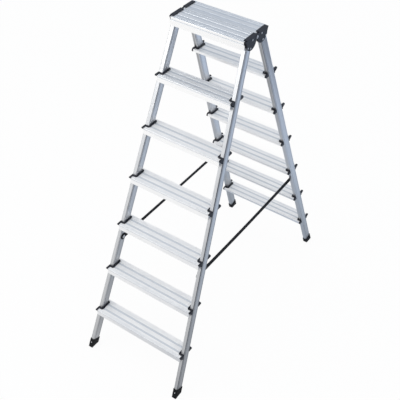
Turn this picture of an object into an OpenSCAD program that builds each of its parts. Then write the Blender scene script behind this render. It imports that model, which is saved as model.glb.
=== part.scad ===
// Double-sided step ladder: two leaning frames of stiles and treads, hinged under a split platform.
// The front frame stands at -Y. The origin is on the floor, under the middle of the platform.

/* [Frames] */
// Rise from the floor to the first tread, and from each tread to the next
tread_rise = 215; // [180:1:280]
// Rise from the top tread to the platform
top_rise = 222; // [180:1:300]
// Treads on each frame
tread_count = 6; // [4:1:8]
// Lean of each frame from upright, in degrees
lean = 20.8; // [18:0.1:23]
// Tilt of each stile towards the middle of its frame, in degrees
taper = 3; // [1:0.1:4]
// Gap between the two halves of the platform
seam_gap = 0.8; // [0.4:0.1:2]

/* [Stiles] */
// Depth of a stile, front to back
stile_d = 40; // [34:0.5:44]
// Width of a stile
stile_w = 19; // [15:0.5:28]
// Wall of a stile
stile_wall = 1.6; // [1.2:0.1:2.5]
// Outer corner radius of a stile
stile_corner = 4; // [1.5:0.1:4.5]
// How far a stile's outer face stands out past the end of the platform
stile_out = 3.5; // [2:0.1:4.5]
// Width of the grooves along both sides of a stile
flute_w = 3; // [0.8:0.1:4]
// Depth of those grooves
flute_depth = 0.9; // [0.3:0.1:0.9]
// Distance of the middle of those grooves from the edges of the stile
flute_inset = 7; // [6.5:0.5:10]

/* [Treads] */
// Depth of a tread, front to back
tread_d = 82; // [74:1:100]
// How far the nose of a tread stands out in front of the stile
tread_nose = 22; // [18:0.5:26]
// Height of the lip under the nose
lip_h = 29; // [27:0.5:40]
// Height of the lip along the back edge
back_lip_h = 11; // [8:0.5:12]
// Thickness of the top
plate_t = 2.2; // [1.8:0.1:3]
// Thickness of the lips and legs
lip_t = 2; // [1.4:0.1:3]
// Fold at the foot of the lips and legs
fold = 6; // [4:0.5:9]
// Height of the two legs under the top
leg_h = 19; // [17:0.5:22]
// Distance of the legs inside the front and back of the stile
leg_inset = 6; // [3:0.5:8]
// Radius of the nose
nose_r = 1.5; // [1:0.1:4]
// Width of the two broad grooves in the top
groove_w = 11; // [5:0.5:14]
// Depth of the broad grooves
groove_depth = 0.6; // [0.4:0.1:1.4]
// Middle of the first broad groove, from the nose
groove_first = 26; // [20:0.5:32]
// Middle of the second broad groove, from the nose
groove_second = 56; // [48:0.5:62]
// Width of the fine grooves
fine_w = 1.4; // [0.8:0.1:2]
// Depth of the fine grooves
fine_depth = 0.3; // [0.2:0.1:1]
// Fine grooves side by side behind the nose
fine_count = 3; // [1:1:4]
// Spacing of those fine grooves
fine_pitch = 3.2; // [2.5:0.1:4]
// Distance of the groove along the lip below the top of a tread
lip_line = 5.5; // [4:0.5:12]
// Width of the groove along the lip
lip_groove_w = 3; // [1.5:0.1:4]
// Depth of the groove along the lip
lip_groove_depth = 1; // [0.3:0.1:1.2]

/* [Platform] */
// Length of the two extrusions that make the platform
platform_len = 332; // [280:1:420]
// Height of the platform's front lip
platform_lip = 37; // [32:0.5:45]
// Distance of the groove along that lip below the top
platform_line = 11; // [8:0.5:18]
// Depth below the top from which that lip runs on past the end of the platform
lip_end_drop = 14; // [13:0.5:20]

/* [Tread clips] */
// Wall of a clip between the stile and the tread
clip_wall = 3; // [2:0.1:4]
// Thickness of the caps over the ends of a tread
clip_end = 8; // [6:0.5:10]
// Width of the rim round the stile
clip_band = 8; // [6:0.5:12]
// Height of the rim above the tread
rim_h = 3; // [2:0.5:6]
// Depth of the clip's front below the top of the tread
clip_drop = 18; // [16:0.5:26]
// Depth of the cap over the end of the nose, at the stile
cap_h = 18; // [14:0.5:22]
// Depth of that cap at its front
cap_front_h = 3; // [2:0.5:8]
// How far that cap stands out in front of the nose
cap_front = 2; // [0:0.5:4]
// Radius over the end of the cap at the back edge
tab_r = 9; // [4:0.5:11]
// Corner radius of the rim
rim_r = 8; // [3:0.5:10]

/* [Hinge brackets] */
// Thickness of a bracket past the end of the platform
bracket_t = 8.4; // [7:0.1:11]
// How far the strip on a bracket reaches in over the platform
strip_over = 7; // [3:0.5:12]
// Height of that strip above the platform
strip_h = 3.5; // [2:0.5:6]
// Distance of the shields and strips behind the front of the platform
shield_back = 9; // [8:0.5:14]
// Gap between the platform's lip and the front corner of a shield
lip_gap = 0.5; // [0.3:0.1:3]
// Distance of each shield from the middle of the platform
shield_gap = 4.5; // [3:0.5:8]
// Distance of the rear strips from the middle of the platform
rear_strip_gap = 12; // [8:0.5:16]
// Middle of a shield's round below the platform
shield_drop = 16.5; // [10:0.5:20]
// Depth of the socket that holds the top of a stile
socket_h = 24; // [18:1:30]
// Pivot below the platform
pivot_drop = 12; // [11.8:0.1:16]
// Radius of a hinge lug
lug_r = 11.5; // [9:0.5:11.5]
// Gap round a hinge lug
lug_gap = 0.8; // [0.6:0.1:1.5]
// Radius of a pivot pin
pin_r = 4; // [3:0.1:5]
// Radius of a pivot pin's head
pin_head_r = 6.5; // [5.5:0.1:8]
// Height of a pivot pin's head
pin_head_h = 2.4; // [1.5:0.1:4]

/* [Rivets] */
// Radius of the rivets in the brackets and clips
rivet_r = 2.4; // [1.6:0.1:3]
// Radius of their heads
rivet_head_r = 4; // [3.2:0.1:4.5]
// Height of their heads
rivet_head_h = 1.8; // [1:0.1:2.5]
// Length of a rivet's tail inside the stile
rivet_tail = 3; // [2:0.5:5]
// Level of the upper bracket rivet below the platform
upper_rivet_drop = 11; // [8:0.5:16]
// Level of the front bracket rivet below the platform
front_rivet_drop = 33; // [28:0.5:38]
// Level of the lower bracket rivet below the platform
lower_rivet_drop = 42; // [36:0.5:45]
// Distance of the front bracket rivet behind the front of the stile
front_rivet_inset = 9; // [7:0.5:12]
// Distance of the other two in front of the back of the stile
back_rivet_inset = 11; // [8:0.5:14]
// Level of a tread rivet below the tread
tread_rivet_drop = 10; // [9:0.5:12]

/* [Feet] */
// Wall of a foot round the stile
foot_wall = 2; // [2:0.1:5]
// Height of a foot along the front of the stile
foot_h = 46; // [40:1:70]
// Level of a foot rivet along the front of the stile
foot_rivet_h = 27; // [20:1:34]
// Radius of a foot rivet
foot_rivet_r = 1.8; // [1.2:0.1:2.2]
// Radius of its head
foot_head_r = 2.6; // [2.4:0.1:4]
// Thickness of the sole
foot_sole = 8; // [4:0.5:14]
// Corner radius of a foot
foot_corner = 3.5; // [2:0.5:6]
// Width of the grooves in the sole
sole_groove_w = 3; // [1.5:0.5:4]
// Depth of the grooves in the sole
sole_groove_depth = 1.5; // [0.5:0.5:3]
// Spacing of the grooves in the sole
sole_pitch = 9; // [6:0.5:12]

/* [Straps] */
// Width of the webbing
strap_w = 25; // [15:1:32]
// Thickness of the webbing
strap_t = 2; // [1:0.1:3]
// Radius of the strap's ends
strap_end_r = 16; // [12:0.5:18]
// Tread that the straps are fixed under
strap_tread = 3; // [2:1:4]
// Strap rivets below that tread
strap_drop = 77; // [55:1:110]
// Radius of the washers on the straps
washer_r = 8; // [6:0.5:10]
// Thickness of those washers
washer_t = 1.5; // [1:0.1:2.5]
// Radius of the strap rivets
strap_rivet_r = 3; // [2:0.1:4]
// Radius of their heads
strap_head_r = 5; // [4.5:0.1:6]
// Height of their heads
strap_head_h = 2.2; // [1.2:0.1:3]

/* [Fits] */
// Gap between pieces that are fixed together
fit_gap = 0.1; // [0.05:0.01:0.2]
// Radial gap of a pivot pin in its lugs
run_gap = 0.05; // [0.02:0.01:0.1]
// Gap between pieces that move past each other
move_gap = 0.3; // [0.2:0.05:0.6]

/* [Hidden] */
$fn = 48;
FRAMES = ["front", "rear"];
SIDES = ["left", "right"];

aluminium = "gainsboro";
black_plastic = "#26282c";
rivet_metal = "silver";
webbing = "#15161a";

// Levels and outlines that the pieces share
platform_z = tread_count * tread_rise + top_rise;
platform_half = tread_d + seam_gap / 2;
stile_half = platform_len / 2 + stile_out;
stile_run = stile_d / cos(lean);
stile_len = platform_z / (cos(lean) * cos(taper));
stile_top = platform_z - plate_t - fit_gap;
bar_over = 2 * stile_d;
back_y = tread_d - tread_nose;

// The front face of a stile, and its outer edge, at a height above the floor
function face_y(z) = tread_nose - platform_half - (platform_z - z) * tan(lean);
function half_w(z) = stile_half + (platform_z - z) * tan(taper) / cos(lean);

// A point of the stile, from its place across, into and along the stile
function stile_x(x, w) = half_w(0) + x * cos(taper) - w * sin(taper);
function stile_y(x, y, w) = face_y(0) + y * cos(lean) + (x * sin(taper) + w * cos(taper)) * sin(lean);

// How far along the stile a height is reached
function along(x, y, z) = ((z + y * sin(lean)) / cos(lean) - x * sin(taper)) / cos(taper);

// Hinge brackets
bracket_in = platform_len / 2 + fit_gap;
bracket_out = platform_len / 2 + bracket_t;
lug_split = (bracket_in + bracket_out) / 2;
shield_r = (platform_half - shield_back - shield_gap) / 2;
shield_y = shield_gap + shield_r;
bracket_rivets = [
    [stile_run - back_rivet_inset, platform_z - upper_rivet_drop],
    [front_rivet_inset, platform_z - front_rivet_drop],
    [stile_run - back_rivet_inset, platform_z - lower_rivet_drop]
];

// Straps
strap_z = strap_tread * tread_rise - strap_drop;
strap_along = along(-stile_w, stile_d / 2, strap_z);
strap_y = -stile_y(-stile_w, stile_d / 2, strap_along);
strap_tilt = atan(tan(taper) * cos(lean));
strap_gap = max(strap_end_r, stile_run / 2) * tan(taper) * sin(lean) + fit_gap;
washer_seat = 2 * strap_gap + strap_t;

// Every piece is drawn on the front frame, at the right, and mirrored to its place
module on_frame(frame) {
    mirror([0, frame == "rear" ? 1 : 0, 0]) children();
}

module on_side(side) {
    mirror([side == "left" ? 1 : 0, 0, 0]) children();
}

module both_sides() {
    for (side = SIDES) on_side(side) children();
}

// From the outer front edge of a stile at the floor: X across it, Y into it, Z along it
module at_stile() {
    translate([half_w(0), face_y(0), 0])
        rotate([-lean, 0, 0])
            rotate([0, -taper, 0])
                children();
}

module level_slab(low, high) {
    translate([-platform_z, -platform_z, low])
        cube([2 * platform_z, 2 * platform_z, high - low]);
}

// The stile as a plain bar, grown all round
module stile_bar(grow) {
    at_stile()
        translate([-stile_w - grow, -grow, -bar_over])
            cube([stile_w + 2 * grow, stile_d + 2 * grow, stile_len + 2 * bar_over]);
}

// A wall round the front, inside and back of the stile, flush with its outer face
module sleeve_bar() {
    at_stile()
        translate([-stile_w - clip_wall, -clip_wall, -bar_over])
            cube([stile_w + clip_wall, stile_d + 2 * clip_wall, stile_len + 2 * bar_over]);
}

// Everything on the inner side of a stile's outer face
module inside_outer_face() {
    at_stile()
        translate([-platform_z, -platform_z, -bar_over])
            cube([platform_z, 2 * platform_z, stile_len + 2 * bar_over]);
}

module rounded(w, d, r) {
    translate([r, 0]) square([w - 2 * r, d]);
    translate([0, r]) square([w, d - 2 * r]);
    for (x = [r, w - r], y = [r, d - r]) translate([x, y]) circle(r);
}

// What a round of radius r takes off a corner at the origin, on the side of +X and +Y
module corner_cut(r) {
    difference() {
        translate([-r, -r]) square(2 * r);
        translate([r, r]) circle(r);
    }
}

// Extrudes an outline drawn in Y and Z along X
module along_x(low, high) {
    translate([low, 0, 0])
        rotate([90, 0, 90])
            linear_extrude(height = high - low)
                children();
}

// Shank below the seat, domed head above it
module rivet(r, head_r, head_h, length) {
    dome_r = (head_r * head_r + head_h * head_h) / (2 * head_h);
    translate([0, 0, -length]) cylinder(r = r, h = length);
    intersection() {
        cylinder(r = head_r, h = head_h);
        translate([0, 0, head_h - dome_r]) sphere(dome_r);
    }
}

// Stiles: hollow extrusions with two grooves along each side
module stile_profile() {
    difference() {
        rounded(stile_w, stile_d, stile_corner);
        translate([stile_wall, stile_wall])
            rounded(stile_w - 2 * stile_wall, stile_d - 2 * stile_wall, stile_corner - stile_wall / 2);
        for (x = [-flute_depth, stile_w - flute_depth], y = [flute_inset, stile_d - flute_inset])
            translate([x, y - flute_w / 2]) square([2 * flute_depth, flute_w]);
    }
}

module stile() {
    color(aluminium) difference() {
        intersection() {
            at_stile()
                translate([-stile_w, 0, -bar_over])
                    linear_extrude(height = stile_len + 2 * bar_over)
                        stile_profile();
            level_slab(foot_sole, stile_top);
        }
        for (k = [1 : tread_count]) at_tread_rivet(k) rivet_hole(clip_wall + stile_wall + rivet_tail);
        for (p = bracket_rivets) at_bracket_rivet(p) rivet_hole(bracket_t + stile_wall + rivet_tail);
        at_strap_rivet() rivet_hole(2 * stile_wall, strap_rivet_r);
        at_foot_rivet() rivet_hole(foot_wall + stile_wall + rivet_tail, foot_rivet_r);
    }
}

// Treads and platform halves: open extrusions with two legs, drawn back from the nose, down from the top
module step_profile(lip, line) {
    back_leg = tread_nose + stile_run - leg_inset;
    difference() {
        union() {
            translate([0, -plate_t]) square([tread_d, plate_t]);
            translate([0, -lip]) square([lip_t, lip]);
            translate([0, -lip]) square([fold, lip_t]);
            translate([tread_d - lip_t, -back_lip_h]) square([lip_t, back_lip_h]);
            translate([tread_d - fold, -back_lip_h]) square([fold, lip_t]);
            translate([tread_nose + leg_inset, -leg_h]) square([lip_t, leg_h]);
            translate([tread_nose + leg_inset - fold + lip_t, -leg_h]) square([fold, lip_t]);
            translate([back_leg - lip_t, -leg_h]) square([lip_t, leg_h]);
            translate([back_leg - lip_t, -leg_h]) square([fold, lip_t]);
        }
        mirror([0, 1]) corner_cut(nose_r);
        for (y = [groove_first, groove_second])
            translate([y - groove_w / 2, -groove_depth]) square([groove_w, 2 * groove_depth]);
        for (i = [1 : fine_count])
            translate([nose_r + i * fine_pitch, -fine_depth]) square([fine_w, 2 * fine_depth]);
        translate([tread_d - 2 * fine_pitch, -fine_depth]) square([fine_w, 2 * fine_depth]);
        translate([-lip_groove_depth, -line - lip_groove_w / 2])
            square([2 * lip_groove_depth, lip_groove_w]);
    }
}

module tread(k) {
    z = k * tread_rise;
    reach = half_w(z) - clip_end - fit_gap;
    color(aluminium) difference() {
        translate([0, face_y(z) - tread_nose, z])
            along_x(-reach, reach) step_profile(lip_h, lip_line);
        both_sides() stile_bar(clip_wall + fit_gap);
    }
}

// One end of the platform's lip, out to the stile's edge under the front corner of the shield
module lip_end() {
    along_x(platform_len / 2 - lip_t, stile_half)
        translate([0, -platform_lip])
            square([lip_t, platform_lip - lip_end_drop]);
}

module platform_half() {
    color(aluminium) difference() {
        translate([0, -platform_half, platform_z]) {
            along_x(-platform_len / 2, platform_len / 2) step_profile(platform_lip, platform_line);
            both_sides() lip_end();
        }
        both_sides() intersection() {
            stile_bar(clip_wall + fit_gap);
            level_slab(0, platform_z - plate_t);
        }
    }
}

// Tread clips: a sleeve round the stile under a rim, with caps over the ends of the tread
module clip(k) {
    z = k * tread_rise;
    color(black_plastic) difference() {
        intersection() {
            union() {
                intersection() {
                    sleeve_bar();
                    translate([0, face_y(z), z]) clip_levels();
                }
                translate([half_w(z) - clip_end, face_y(z), z]) clip_caps();
            }
            inside_outer_face();
        }
        stile_bar(fit_gap);
        at_tread_rivet(k) rivet_hole(clip_wall + stile_wall);
    }
}

module clip_levels() {
    translate([0, -tread_nose, -clip_drop])
        cube([platform_z, tread_nose + stile_run / 2, clip_drop]);
    translate([0, -tread_nose, -back_lip_h])
        cube([platform_z, tread_d, back_lip_h]);
}

// From the inner face of the caps, and long enough to be trimmed at the outer face of the stile
module clip_caps() {
    rim_w = stile_w + clip_band - clip_end;
    linear_extrude(height = rim_h)
        translate([-rim_w, -clip_band])
            rounded(rim_w + 2 * clip_end, stile_run + 2 * clip_band, rim_r);
    along_x(0, 2 * clip_end) {
        front_cap_outline();
        back_cap_outline();
    }
}

module front_cap_outline() {
    front = -tread_nose - cap_front;
    polygon([[front, rim_h], [front, -cap_front_h], [0, -cap_h], [0, rim_h]]);
}

module back_cap_outline() {
    difference() {
        translate([stile_run / 2, -back_lip_h]) square([back_y - stile_run / 2, back_lip_h + rim_h]);
        translate([back_y, rim_h]) rotate(180) corner_cut(tab_r);
    }
}

// Tread rivets: through the clip into the inner wall of the stile
module at_tread_rivet(k) {
    level = along(-stile_w, stile_d / 2, k * tread_rise - tread_rivet_drop);
    at_stile()
        translate([-stile_w - clip_wall, stile_d / 2, level])
            rotate([0, -90, 0])
                children();
}

module rivet_hole(length, r = rivet_r) {
    translate([0, 0, -length]) cylinder(r = r + fit_gap, h = 2 * length);
}

module tread_rivets() {
    length = clip_wall + stile_wall + rivet_tail;
    color(rivet_metal)
        for (k = [1 : tread_count])
            at_tread_rivet(k) rivet(rivet_r, rivet_head_r, rivet_head_h, length);
}

// Hinge brackets: a shield and a strip over the platform's end, a socket round the stile and a hinge lug
module shield_outline() {
    front = lip_t + lip_gap - platform_half;
    back = shield_back - platform_half;
    polygon([[front, 0], [back, -shield_drop], [-shield_gap, -shield_drop], [-shield_gap, 0]]);
    translate([-shield_y, -shield_drop])
        intersection() {
            circle(shield_r, $fn = 96);
            translate([-shield_r, -shield_r]) square([2 * shield_r, shield_r]);
        }
}

module lug_outline() {
    translate([0, -pivot_drop]) circle(lug_r);
    translate([-shield_gap - lug_r, -pivot_drop - lug_r]) square([shield_gap + lug_r, 2 * lug_r]);
}

module bracket_body(lug_low, lug_high, strip_gap) {
    strip_len = platform_half - shield_back - strip_gap;
    translate([0, 0, platform_z]) {
        along_x(bracket_in, bracket_out) shield_outline();
        along_x(lug_low, lug_high) lug_outline();
        translate([platform_len / 2 - strip_over, -strip_gap - strip_len, 0])
            cube([strip_over + bracket_t, strip_len, strip_h]);
    }
    intersection() {
        sleeve_bar();
        level_slab(platform_z - socket_h, stile_top);
    }
}

// The front lug lies inside the rear one, so each bracket is cut clear of the other's lug
module bracket(outer_lug) {
    outer = lug_split + move_gap / 2;
    inner = lug_split - move_gap / 2;
    lug = outer_lug ? [outer, bracket_out] : [platform_len / 2 + move_gap, inner];
    clear = outer_lug ? [0, outer] : [inner, 2 * bracket_out];
    color(black_plastic) difference() {
        bracket_body(lug[0], lug[1], outer_lug ? rear_strip_gap : shield_gap);
        intersection() {
            stile_bar(fit_gap);
            level_slab(0, stile_top + fit_gap);
        }
        translate([0, 0, platform_z - pivot_drop]) {
            along_x(clear[0], clear[1]) circle(lug_r + lug_gap);
            along_x(0, 2 * bracket_out) circle(pin_r + run_gap);
        }
        for (p = bracket_rivets) at_bracket_rivet(p) rivet_hole(bracket_t);
    }
}

module at_bracket_rivet(p) {
    translate([bracket_out, face_y(p[1]) + p[0], p[1]])
        rotate([0, 90, 0])
            children();
}

module bracket_rivet_set() {
    length = bracket_t + stile_wall + rivet_tail;
    color(rivet_metal)
        for (p = bracket_rivets)
            at_bracket_rivet(p) rivet(rivet_r, rivet_head_r, rivet_head_h, length);
}

// Pivot pins: fixed in the front lugs, headed outside the rear lugs
module pivot_pin() {
    color(rivet_metal)
        translate([bracket_out + move_gap, 0, platform_z - pivot_drop])
            rotate([0, 90, 0])
                rivet(pin_r, pin_head_r, pin_head_h, bracket_t);
}

// Feet: caps over the ends of the stiles, level with the floor
module foot() {
    color(black_plastic) difference() {
        intersection() {
            at_stile()
                translate([-stile_w - foot_wall, -foot_wall, -bar_over])
                    linear_extrude(height = bar_over + foot_h)
                        rounded(stile_w + 2 * foot_wall, stile_d + 2 * foot_wall, foot_corner);
            level_slab(0, platform_z);
        }
        intersection() {
            stile_bar(fit_gap);
            level_slab(foot_sole, platform_z);
        }
        for (i = [-1 : 1])
            translate([half_w(0) - stile_w / 2, face_y(0) + stile_run / 2 + i * sole_pitch, 0])
                cube([2 * stile_d, sole_groove_w, 2 * sole_groove_depth], center = true);
        at_foot_rivet() rivet_hole(foot_wall + stile_wall, foot_rivet_r);
    }
}

// Foot rivets: through the front of the foot into the front wall of the stile
module at_foot_rivet() {
    at_stile()
        translate([-stile_w / 2, -foot_wall, foot_rivet_h])
            rotate([90, 0, 0])
                children();
}

module foot_rivet() {
    length = foot_wall + stile_wall + rivet_tail;
    color(rivet_metal)
        at_foot_rivet() rivet(foot_rivet_r, foot_head_r, rivet_head_h, length);
}

// Straps: webbing from frame to frame along the inner faces of the stiles
module strap() {
    color(webbing)
        translate([stile_x(-stile_w, strap_along), 0, strap_z])
            rotate([0, -strap_tilt, 0])
                along_x(-strap_gap - strap_t, -strap_gap) difference() {
                    union() {
                        translate([-strap_y, -strap_w / 2]) square([2 * strap_y, strap_w]);
                        for (y = [-strap_y, strap_y]) translate([y, 0]) circle(strap_end_r);
                    }
                    for (y = [-strap_y, strap_y]) translate([y, 0]) circle(strap_rivet_r + move_gap);
                }
}

module at_strap_rivet() {
    at_stile()
        translate([-stile_w, stile_d / 2, strap_along])
            rotate([0, -90, 0])
                children();
}

module strap_washer() {
    color(rivet_metal)
        at_strap_rivet()
            translate([0, 0, washer_seat])
                difference() {
                    cylinder(r = washer_r, h = washer_t);
                    rivet_hole(2 * washer_t, strap_rivet_r);
                }
}

module strap_rivet() {
    seat = washer_seat + washer_t;
    color(rivet_metal)
        at_strap_rivet()
            translate([0, 0, seat])
                rivet(strap_rivet_r, strap_head_r, strap_head_h, seat + stile_wall + rivet_tail);
}

for (f = FRAMES) {
    for (s = SIDES) {
        on_frame(f) on_side(s) stile();
        on_frame(f) on_side(s) bracket(f == "rear");
        on_frame(f) on_side(s) foot();
    }
    for (k = [1 : tread_count]) {
        on_frame(f) tread(k);
        on_frame(f) both_sides() clip(k);
    }
    on_frame(f) platform_half();
    on_frame(f) both_sides() tread_rivets();
    on_frame(f) both_sides() bracket_rivet_set();
    on_frame(f) both_sides() foot_rivet();
    on_frame(f) both_sides() strap_washer();
    on_frame(f) both_sides() strap_rivet();
}
for (s = SIDES) {
    on_side(s) pivot_pin();
    on_side(s) strap();
}
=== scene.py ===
"""Double-sided step ladder: two aluminium frames hinged under a split platform."""
import math

import bmesh
import bpy
from mathutils import Matrix, Vector


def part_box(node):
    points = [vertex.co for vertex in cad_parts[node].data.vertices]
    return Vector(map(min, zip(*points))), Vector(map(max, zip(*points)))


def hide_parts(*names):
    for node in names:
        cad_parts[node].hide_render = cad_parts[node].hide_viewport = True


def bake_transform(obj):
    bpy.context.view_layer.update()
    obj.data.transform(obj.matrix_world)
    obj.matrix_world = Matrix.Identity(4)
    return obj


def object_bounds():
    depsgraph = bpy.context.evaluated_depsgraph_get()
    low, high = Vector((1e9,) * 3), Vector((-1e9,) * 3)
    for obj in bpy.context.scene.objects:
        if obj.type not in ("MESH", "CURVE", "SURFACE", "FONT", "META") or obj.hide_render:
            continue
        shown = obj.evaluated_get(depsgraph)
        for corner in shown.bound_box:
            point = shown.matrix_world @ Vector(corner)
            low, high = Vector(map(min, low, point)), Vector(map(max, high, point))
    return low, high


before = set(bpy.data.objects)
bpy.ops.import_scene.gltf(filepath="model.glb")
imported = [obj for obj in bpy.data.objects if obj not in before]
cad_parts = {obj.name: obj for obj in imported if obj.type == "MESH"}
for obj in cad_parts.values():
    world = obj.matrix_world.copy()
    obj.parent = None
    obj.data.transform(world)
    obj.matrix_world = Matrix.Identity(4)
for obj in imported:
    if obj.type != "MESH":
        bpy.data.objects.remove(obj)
cad_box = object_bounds()


# Stiles
# Four hollow box extrusions of mill-finished aluminium, grooved along both sides. They lean together
# and run from the feet to the hinge brackets, and every tread is riveted to their inner walls.
stile_lean = math.radians(20.8)
stile_taper = math.radians(3)
stile_edge = 0.0008
stile_pale = (0.71, 0.722, 0.74, 1)
stile_bright = (0.77, 0.782, 0.80, 1)
# Painted shade: the grey that darkens the stiles towards the foot and on their undersides between the
# shaded heights.
stile_shade_grey = (0.42, 0.425, 0.43, 1)
# Painted reflection: the dark line along the stiles' rounded corners.
stile_corner_reflection = (0.20, 0.21, 0.23, 1)
foot_shade_heights = (0.0, 0.95)
shaded_heights = (0.75, 1.35)


class Port:
    """One socket of a finish. Arithmetic on ports adds Math nodes to the finish."""

    def __init__(self, tree, socket=None):
        self.tree = tree
        self.socket = socket

    def node(self, kind, sockets, out=0, stops=(), **settings):
        """Adds a node with its settings and ramp stops, then the values or links of its sockets."""
        made = self.tree.nodes.new("ShaderNode" + kind)
        for name, value in settings.items():
            setattr(made, name, value)
        for place, shade in stops:
            ramp = made.color_ramp.elements
            # A new ramp already has its first and last stop.
            stop = ramp[-place] if place in (0, 1) else ramp.new(place)
            stop.color = (*shade, 1)
        for name, value in sockets.items():
            if isinstance(value, Port):
                self.tree.links.new(value.socket, made.inputs[name])
            else:
                made.inputs[name].default_value = value
        return Port(self.tree, made.outputs[out])

    def math(self, operation, first, second=0.0):
        return self.node("Math", {0: first, 1: second}, operation=operation)

    def __add__(self, other):
        return self.math("ADD", self, other)

    __radd__ = __add__

    def __sub__(self, other):
        return self.math("SUBTRACT", self, other)

    def __rsub__(self, other):
        return self.math("SUBTRACT", other, self)

    def __mul__(self, other):
        return self.math("MULTIPLY", self, other)

    __rmul__ = __mul__

    def __abs__(self):
        return self.math("ABSOLUTE", self)

    def sign(self):
        return self.math("SIGN", self)

    def steps(self, low, high):
        """0 below low, 1 above high and smooth between."""
        sockets = {"Value": self, "From Min": low, "From Max": high}
        return self.node("MapRange", sockets, interpolation_type="SMOOTHSTEP")

    def parts(self):
        return [self.node("SeparateXYZ", {"Vector": self}, out=axis) for axis in range(3)]

    def point(self, x, y, z):
        return self.node("CombineXYZ", {"X": x, "Y": y, "Z": z})

    def noise(self, scale, detail=2.0):
        return self.node("TexNoise", {"Vector": self, "Scale": scale, "Detail": detail})

    def colour(self, share, first, second):
        """first where share is 0, second where it is 1."""
        return self.node("Mix", {0: share, 6: first, 7: second}, out=2, data_type="RGBA")

    def bump(self, strength, depth):
        return self.node("Bump", {"Height": self, "Strength": strength, "Distance": depth})


def new_finish(name):
    """A finish with its shader, and a port at the place of each point on the piece."""
    finish = bpy.data.materials.new(name)
    finish.use_nodes = True
    tree = finish.node_tree
    place = Port(tree).node("TexCoord", {}, out="Object")
    return finish, tree.nodes["Principled BSDF"], place


def feed(shader, **sockets):
    """Links ports, or sets plain values, on the shader's sockets."""
    for name, value in sockets.items():
        socket = shader.inputs[name.replace("_", " ")]
        if isinstance(value, Port):
            value.tree.links.new(value.socket, socket)
        else:
            socket.default_value = value


def coat(node, finish):
    """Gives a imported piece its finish."""
    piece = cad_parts[node]
    piece.data.materials.clear()
    piece.data.materials.append(finish)
    return piece


def dress(node, finish, edge):
    """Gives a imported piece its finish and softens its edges."""
    piece = coat(node, finish)
    piece.modifiers.new("weld", "WELD").merge_threshold = 1e-5
    flat = piece.modifiers.new("flat", "DECIMATE")
    flat.decimate_type = "DISSOLVE"
    flat.angle_limit = math.radians(2)
    bevel = piece.modifiers.new("edge", "BEVEL")
    bevel.width = edge
    bevel.segments = 2
    bevel.limit_method = "ANGLE"
    bevel.angle_limit = math.radians(25)
    bevel.harden_normals = True


frames = ("front", "rear")
sides = ("left", "right")
stile_finish, stile_shader, stile_place = new_finish("stile_aluminium")
x, y, z = stile_place.parts()
near_x, near_y = abs(x), -1 * abs(y)
stile_run = z * math.cos(stile_lean) + near_y * math.sin(stile_lean)
stile_in = near_y * math.cos(stile_lean) - z * math.sin(stile_lean)
stile_seed = 0.31 * x.sign() + 0.17 * y.sign()
stile_out = near_x + stile_run * math.tan(stile_taper)
stile_lines = stile_place.point(stile_out * 900, stile_in * 900, stile_run * 3 + stile_seed).noise(1, 2)
stile_bands = stile_place.point(stile_out * 60, stile_in * 160, stile_run * 0.7 + stile_seed).noise(1, 2)
stile_clouds = stile_place.noise(11, 4)
stile_tone = 0.6 * stile_bands + 0.4 * stile_clouds
stile_unshaded = stile_place.colour(stile_tone.steps(0.3, 0.7), stile_pale, stile_bright)
facing_x, facing_y, facing_z = stile_place.node("TexCoord", {}, out="Normal").parts()
# Painted shade: the stiles' colour greys towards the foot and on their undersides higher up.
underside = (-1 * facing_z).steps(0.2, 0.33)
stile_painted_shade = (1 - z.steps(*foot_shade_heights)) * (0.47 + 0.3 * stile_clouds)
stile_painted_shade = stile_painted_shade + 0.9 * underside * z.steps(*shaded_heights)
# Painted reflection: a dark line along the rounded corners between the front or back and the sides.
corner_reflection_mask = (x.sign() * facing_x).steps(0.2, 0.5) * (y.sign() * facing_y).steps(0.2, 0.5)
stile_shaded = stile_place.colour(stile_painted_shade, stile_unshaded, stile_shade_grey)
feed(
    stile_shader,
    Base_Color=stile_place.colour(0.75 * corner_reflection_mask, stile_shaded, stile_corner_reflection),
    Metallic=1.0,
    Roughness=0.33 + 0.08 * stile_lines + 0.06 * stile_clouds,
    Normal=stile_lines.bump(0.12, 0.0001),
)
for f in frames:
    for s in sides:
        dress(f"{f}_stile_{s}", stile_finish, stile_edge)


# Treads and platform
# Open aluminium extrusions with a deep front lip, ribbed on top for grip and folded under at the edges.
# Six treads a side are notched round the stiles, and two longer-lipped ones meet as the platform.
tread_edge = 0.0005
platform_edge = 0.0002
tread_count = 6
bracket_strip = 0.0035
platform_height = cad_box[1].z - bracket_strip
platform_half = 0.0824
tread_rise = 0.215
lip_line = 0.0055
platform_line = 0.011
lip_line_half = 0.0018
groove_middles = (0.0258, 0.0555)
groove_half = 0.0060
groove_blur = 0.0016
groove_rib = 0.0022
tread_dull = 0.66
lip_reach = (0.010, 0.014)
nose_reach = (0.010, 0.017)
back_reach = (0.062, 0.070)
upper_heights = (1.15, 1.45)
lip_highlight_heights = (0.6, 1.3)
tread_pale = (0.885, 0.892, 0.905, 1)
tread_bright = (0.95, 0.952, 0.955, 1)
# Painted highlight on the lips of the upper treads.
lip_painted_highlight = (0.975, 0.975, 0.977, 1)
# Painted shade: the grey of the grooves and of the darkened tread tops.
painted_shade_grey = (0.63, 0.67, 0.72, 1)


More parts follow.
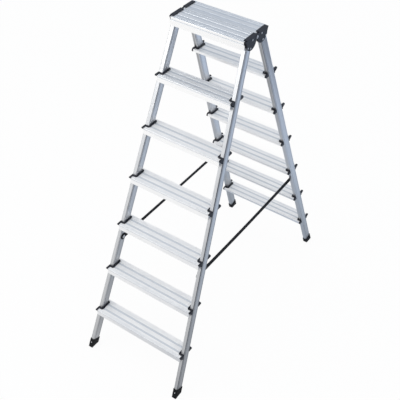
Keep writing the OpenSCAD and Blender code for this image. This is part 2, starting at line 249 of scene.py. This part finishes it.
def tread_metal(name, roughness, rise, line):
    """Satin aluminium with painted shade in its grooves and on its tops, dulled on top, with a painted
    highlight on the upper lips.
    """
    finish, shader, place = new_finish(name)
    x, y, z = place.parts()
    from_nose = platform_half + (platform_height - z) * math.tan(stile_lean) - abs(y)
    below_top = rise * (1 - place.math("FRACT", z * (1 / rise)))
    # Painted shade in the lip line and, below, in the two grooves on top.
    groove = 1 - abs(below_top - line).steps(lip_line_half - 0.5 * groove_blur, lip_line_half)
    groove = groove * (1 - from_nose.steps(*lip_reach))
    lines = place.point(x * 3, y * 900, z * 900).noise(1, 2)
    patches = place.point(x * 9, y * 30, z * 30).noise(1, 3)
    plain = place.colour(patches.steps(0.3, 0.7), tread_pale, tread_bright)
    for middle in groove_middles:
        off_middle = abs(from_nose - middle)
        groove = groove + (1 - off_middle.steps(groove_half - groove_blur, groove_half))
    ribs = 0.5 + 0.5 * place.math("SINE", (from_nose + below_top) * (2 * math.pi / groove_rib))
    _, facing_y, facing_z = place.node("TexCoord", {}, out="Normal").parts()
    top = facing_z.steps(0.3, 0.9)
    lip = (y.sign() * facing_y).steps(0.3, 0.9)
    upper = z.steps(*upper_heights)
    dull = tread_dull * (1 - upper) * top
    # Painted highlight: the lips of the upper treads are lighter.
    lip_highlight_share = z.steps(*lip_highlight_heights) * lip
    plain = place.colour(lip_highlight_share, plain, lip_painted_highlight)
    # Painted shade: tops darker near the nose and back edges, and on the upper treads.
    nose_shade = (1 - from_nose.steps(*nose_reach)) * (0.35 + 0.65 * upper)
    back_shade = from_nose.steps(*back_reach) * (0.4 * upper)
    tread_painted_shade = groove * (0.8 + 0.2 * patches) + (nose_shade + back_shade + 0.28 * upper) * top
    feed(
        shader,
        Base_Color=place.colour(tread_painted_shade, plain, painted_shade_grey),
        Metallic=1 - dull,
        Roughness=(
            roughness + 0.4 * dull - 0.08 * lip_highlight_share + 0.06 * lines + 0.08 * patches + 0.06 * groove
        ),
        Normal=(0.3 * lines + groove * ribs).bump(0.12, 0.0002),
    )
    return finish


tread_finish = tread_metal("tread_aluminium", 0.24, tread_rise, lip_line)
platform_finish = tread_metal("platform_aluminium", 0.27, platform_height, platform_line)
for f in frames:
    dress(f"{f}_platform", platform_finish, platform_edge)
    for k in range(1, tread_count + 1):
        dress(f"{f}_tread_{k}", tread_finish, tread_edge)


# Tread clips
# Black moulded plastic caps with a raised rim on top, one on each tread end. Each is sleeved round its
# stile and riveted to the stile's inner wall, out of sight under the tread.
plastic_edge = 0.0012
plastic_dark = (0.004, 0.0054, 0.011, 1)
plastic_pale = (0.012, 0.0145, 0.025, 1)

plastic_finish, plastic_shader, plastic_place = new_finish("moulded_black")
grain = plastic_place.noise(900, 2)
flow = plastic_place.noise(40, 3)
feed(
    plastic_shader,
    Base_Color=plastic_place.colour(flow, plastic_dark, plastic_pale),
    Roughness=0.42 + 0.14 * flow,
    Specular_IOR_Level=0.36,
    Normal=grain.bump(0.2, 0.0003),
)
for f in frames:
    for k in range(1, tread_count + 1):
        dress(f"{f}_clips_{k}", plastic_finish, plastic_edge)


# Hinge brackets
# Shields of the same black plastic that cap the ends of the platform. Each holds the top of a stile with
# three rivets and carries one lug of the hinge.
for f in frames:
    for s in sides:
        dress(f"{f}_bracket_{s}", plastic_finish, plastic_edge)


# Rivets, washers and pivot pins
# Zinc-plated steel: domed rivets in the brackets, clips, feet and straps, washers on the straps, and the
# two pins that the frames turn on.
rivet_grey = (0.62, 0.63, 0.65, 1)
rivet_bright = (0.80, 0.80, 0.81, 1)

rivet_finish, rivet_shader, rivet_place = new_finish("zinc_steel")
blush = rivet_place.noise(160, 3)
feed(
    rivet_shader,
    Base_Color=rivet_place.colour(blush, rivet_grey, rivet_bright),
    Metallic=1.0,
    Roughness=0.24 + 0.16 * blush,
)
for s in sides:
    coat(f"pivot_pin_{s}", rivet_finish)
for f in frames:
    for small in ("tread_rivets", "bracket_rivets", "foot_rivets", "strap_washers", "strap_rivets"):
        coat(f"{f}_{small}", rivet_finish)


# Feet
# Black moulded rubber caps pushed over the stile ends, each held by a rivet at the front. They are cut
# level with the floor and have a grooved sole.
rubber_dark = (0.003, 0.0033, 0.005, 1)
rubber_scuffed = (0.010, 0.0108, 0.0135, 1)

rubber_finish, rubber_shader, rubber_place = new_finish("foot_rubber")
scuffs = rubber_place.noise(120, 4)
feed(
    rubber_shader,
    Base_Color=rubber_place.colour(scuffs.steps(0.35, 0.75), rubber_dark, rubber_scuffed),
    Roughness=0.62 + 0.2 * scuffs,
    Specular_IOR_Level=0.22,
    Normal=rubber_place.noise(700, 2).bump(0.25, 0.0003),
)
for f in frames:
    for s in sides:
        dress(f"{f}_foot_{s}", rubber_finish, plastic_edge)


# Straps
# Flat black polyester webbing from frame to frame along the inner faces of the stiles, with round ends
# under a washer and rivet. They stop the frames from spreading, and go slack when the ladder folds.
strap_width = 0.025
strap_thick = 0.0018
strap_end = 0.016
strap_sag = {"left": 0.002, "right": 0.0055}
strap_twist = {"left": math.radians(8), "right": math.radians(3)}
strap_tilt = math.atan(math.tan(stile_taper) * math.cos(stile_lean))
rib_pitch = 0.0024
selvedge = 0.003
webbing_dark = (0.0018, 0.0022, 0.0034, 1)
webbing_pale = (0.006, 0.0070, 0.0105, 1)

webbing_finish, webbing_shader, webbing_place = new_finish("black_webbing")
along, across, _ = webbing_place.node("TexCoord", {}, out="UV").parts()
strap_low, strap_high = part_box("strap_right")
strap_length = strap_high.y - strap_low.y
run = along * strap_length
edge = abs(across - 0.5) * strap_width
herring = run + abs(edge - 0.25 * strap_width) * 0.8
rib = 0.5 + 0.5 * webbing_place.math("SINE", herring * (2 * math.pi / rib_pitch))
cord_line = edge.steps(0.5 * strap_width - selvedge, 0.5 * strap_width - 0.6 * selvedge)
fuzz = webbing_place.noise(700, 3)
weave = 0.7 * rib + 0.3 * fuzz + 0.4 * cord_line
feed(
    webbing_shader,
    Base_Color=webbing_place.colour(weave.steps(0.2, 1.0), webbing_dark, webbing_pale),
    Roughness=0.88 - 0.2 * weave,
    Normal=weave.bump(0.3, 0.0006),
    Specular_IOR_Level=0.25,
    Sheen_Weight=0.03,
    Sheen_Roughness=0.4,
)


def webbing_strap(side):
    """A band along Y with round ends, in its strap's own plane, with a little sag and twist."""
    low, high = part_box(f"strap_{side}")
    middle = 0.5 * (low + high)
    rivet_y = high.y - strap_end
    shape = bmesh.new()
    shape.loops.layers.uv.new("weave")
    bmesh.ops.create_grid(shape, x_segments=160, y_segments=6, size=0.5, calc_uvs=True)
    for corner in shape.verts:
        place = 2 * high.y * corner.co.x
        past = abs(place) - rivet_y
        disc = math.sqrt(max(0, strap_end ** 2 - past ** 2))
        half = disc if past > 0 else max(disc, 0.5 * strap_width)
        sag = strap_sag[side] * max(0, 1 - (place / rivet_y) ** 2)
        twist = strap_twist[side] * max(0, 1 - (place / rivet_y) ** 4)
        rise = 2 * half * corner.co.y
        corner.co = Vector((rise * math.sin(twist), place, rise * math.cos(twist) - sag))
    bmesh.ops.remove_doubles(shape, verts=shape.verts, dist=1e-5)
    flat_area = sum(face.calc_area() for face in shape.faces)
    turn = Matrix.Rotation(-strap_tilt if middle.x > 0 else strap_tilt, 4, "Y")
    bmesh.ops.transform(shape, matrix=Matrix.Translation(middle) @ turn, verts=shape.verts)
    bmesh.ops.recalc_face_normals(shape, faces=shape.faces)
    mesh = bpy.data.meshes.new(f"webbing_{side}")
    shape.to_mesh(mesh)
    shape.free()
    mesh.polygons.foreach_set("use_smooth", [True] * len(mesh.polygons))
    mesh.materials.append(webbing_finish)
    strap = bpy.data.objects.new(f"webbing_{side}", mesh)
    bpy.context.scene.collection.objects.link(strap)
    thick = strap.modifiers.new("thick", "SOLIDIFY")
    thick.thickness = strap_thick
    thick.offset = 0
    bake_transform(strap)
    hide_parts(f"strap_{side}")


for s in sides:
    webbing_strap(s)


# Studio
# A plain pale floor in a pale room. To the camera the floor shows white with a faint shadow; to the
# metal it glows with painted light, a soft falloff from light to dark with a painted dark side. One soft
# lamp stands at the front left and one hangs overhead. The camera comes last.
view_azimuth = math.radians(33.70)
view_elevation = math.radians(41.367)
view_roll = math.radians(1.428)
view_eye = Vector((1.3818, -2.1681, 2.8631))
view_lens = 66.73

key_side = Vector((-0.56, -0.83, 0))
floor_half = 12
falloff_half = 3
dark_reach = (0.9, 1.4)
white = (1, 1, 1, 1)

floor_mesh = bpy.data.meshes.new("floor")
floor_shape = bmesh.new()
bmesh.ops.create_grid(floor_shape, x_segments=1, y_segments=1, size=floor_half)
floor_shape.to_mesh(floor_mesh)
floor_shape.free()
floor = bpy.data.objects.new("floor", floor_mesh)
bpy.context.scene.collection.objects.link(floor)


def room_sides(place):
    """How far a point lies towards the key lamp and towards the room's dark side, and its height."""
    x, y, z = place.parts()
    return x * key_side.x + y * key_side.y, y * key_side.x - x * key_side.y, z


floor_finish, floor_shader, floor_place = new_finish("pale_floor")
feed(floor_shader, Base_Color=(0.8, 0.81, 0.83, 1), Roughness=0.9)
tree = floor_finish.node_tree
lit_side, dark_side, _ = room_sides(floor_place)
falloff = floor_place.node(
    "ValToRGB",
    {"Fac": (lit_side + falloff_half) * (0.5 / falloff_half)},
    stops=(
        (0, (0.66, 0.77, 0.96)),
        (0.35, (0.60, 0.68, 0.80)),
        (0.50, (0.51, 0.54, 0.59)),
        (0.57, (0.56, 0.58, 0.61)),
        (0.64, (0.90, 0.90, 0.91)),
        (0.70, (1.0, 1.0, 1.0)),
        (1, (1.0, 1.0, 1.0)),
    ),
)
# Painted light: glossy rays see the floor glow with this falloff from light to dark and a painted dark
# side away from the key lamp.
painted_floor_light = floor_place.colour(dark_side.steps(*dark_reach), falloff, (0.10, 0.105, 0.12, 1))
seen = floor_place.node("LightPath", {}, out="Is Camera Ray")
mirrored = floor_place.node("LightPath", {}, out="Is Glossy Ray")
glow = floor_place.node(
    "Emission", {"Color": floor_place.colour(seen, painted_floor_light, white), "Strength": 1.0}
)
lit = Port(tree, floor_shader.outputs[0])
both = floor_place.node("MixShader", {0: 0.95 * seen + mirrored, 1: lit, 2: glow})
tree.links.new(both.socket, tree.nodes["Material Output"].inputs["Surface"])
floor.data.materials.append(floor_finish)

world = bpy.data.worlds.new("studio")
bpy.context.scene.world = world
world.use_nodes = True
tree = world.node_tree
sky = Port(tree).node("TexCoord", {}, out="Generated")
lit_side, dark_side, z = room_sides(sky)
far_sky = sky.node(
    "ValToRGB",
    {"Fac": z},
    stops=(
        (0, (0.50, 0.57, 0.68)),
        (0.46, (0.50, 0.55, 0.63)),
        (0.56, (0.66, 0.70, 0.76)),
        (0.64, (0.80, 0.82, 0.85)),
        (0.76, (1.0, 1.0, 1.0)),
        (1, (1.0, 1.0, 1.0)),
    ),
)
near_sky = sky.node(
    "ValToRGB",
    {"Fac": z},
    stops=(
        (0, (0.66, 0.67, 0.68)),
        (0.12, (1.0, 1.0, 1.0)),
        (1, (1.0, 1.0, 1.0)),
    ),
)
tint = sky.colour(lit_side.steps(0.0, 0.6), far_sky, near_sky)
dark_sky = dark_side.steps(0.5, 0.9) * (1 - z.steps(0.1, 0.5))
tint = sky.colour(dark_sky, tint, (0.12, 0.125, 0.14, 1))
seen = sky.node("LightPath", {}, out="Is Camera Ray")
shade = sky.colour(seen, tint, white)
tree.links.new(shade.socket, tree.nodes["Background"].inputs["Color"])
tree.nodes["Background"].inputs["Strength"].default_value = 1.0


def softbox(name, place, target, size, power):
    """A soft rectangular lamp that faces its target."""
    lamp = bpy.data.lights.new(name, "AREA")
    lamp.shape = "RECTANGLE"
    lamp.size, lamp.size_y = size
    lamp.energy = power
    holder = bpy.data.objects.new(name, lamp)
    away = Vector(place) - Vector(target)
    turn = away.to_track_quat("Z", "Y").to_matrix().to_4x4()
    holder.matrix_world = Matrix.Translation(place) @ turn
    bpy.context.scene.collection.objects.link(holder)


softbox("key", (-1.5, -2.3, 2.3), (0, 0, 1.0), (2.2, 1.2), 18)
softbox("top", (0.2, -0.9, 4.0), (0, 0, 0.8), (2.5, 2.5), 10)

back = Vector(
    (
        math.sin(view_azimuth) * math.cos(view_elevation),
        -math.cos(view_azimuth) * math.cos(view_elevation),
        math.sin(view_elevation),
    )
)
level = Vector((math.cos(view_azimuth), math.sin(view_azimuth), 0))
turn = Matrix((level, back.cross(level), back)).transposed() @ Matrix.Rotation(view_roll, 3, "Z")
camera = bpy.data.objects.new("camera", bpy.data.cameras.new("camera"))
camera.data.sensor_width = 36
camera.data.lens = view_lens
camera.matrix_world = Matrix.Translation(view_eye) @ turn.to_4x4()
bpy.context.scene.collection.objects.link(camera)
bpy.context.scene.camera = camera
bpy.context.scene.view_settings.view_transform = "Standard"
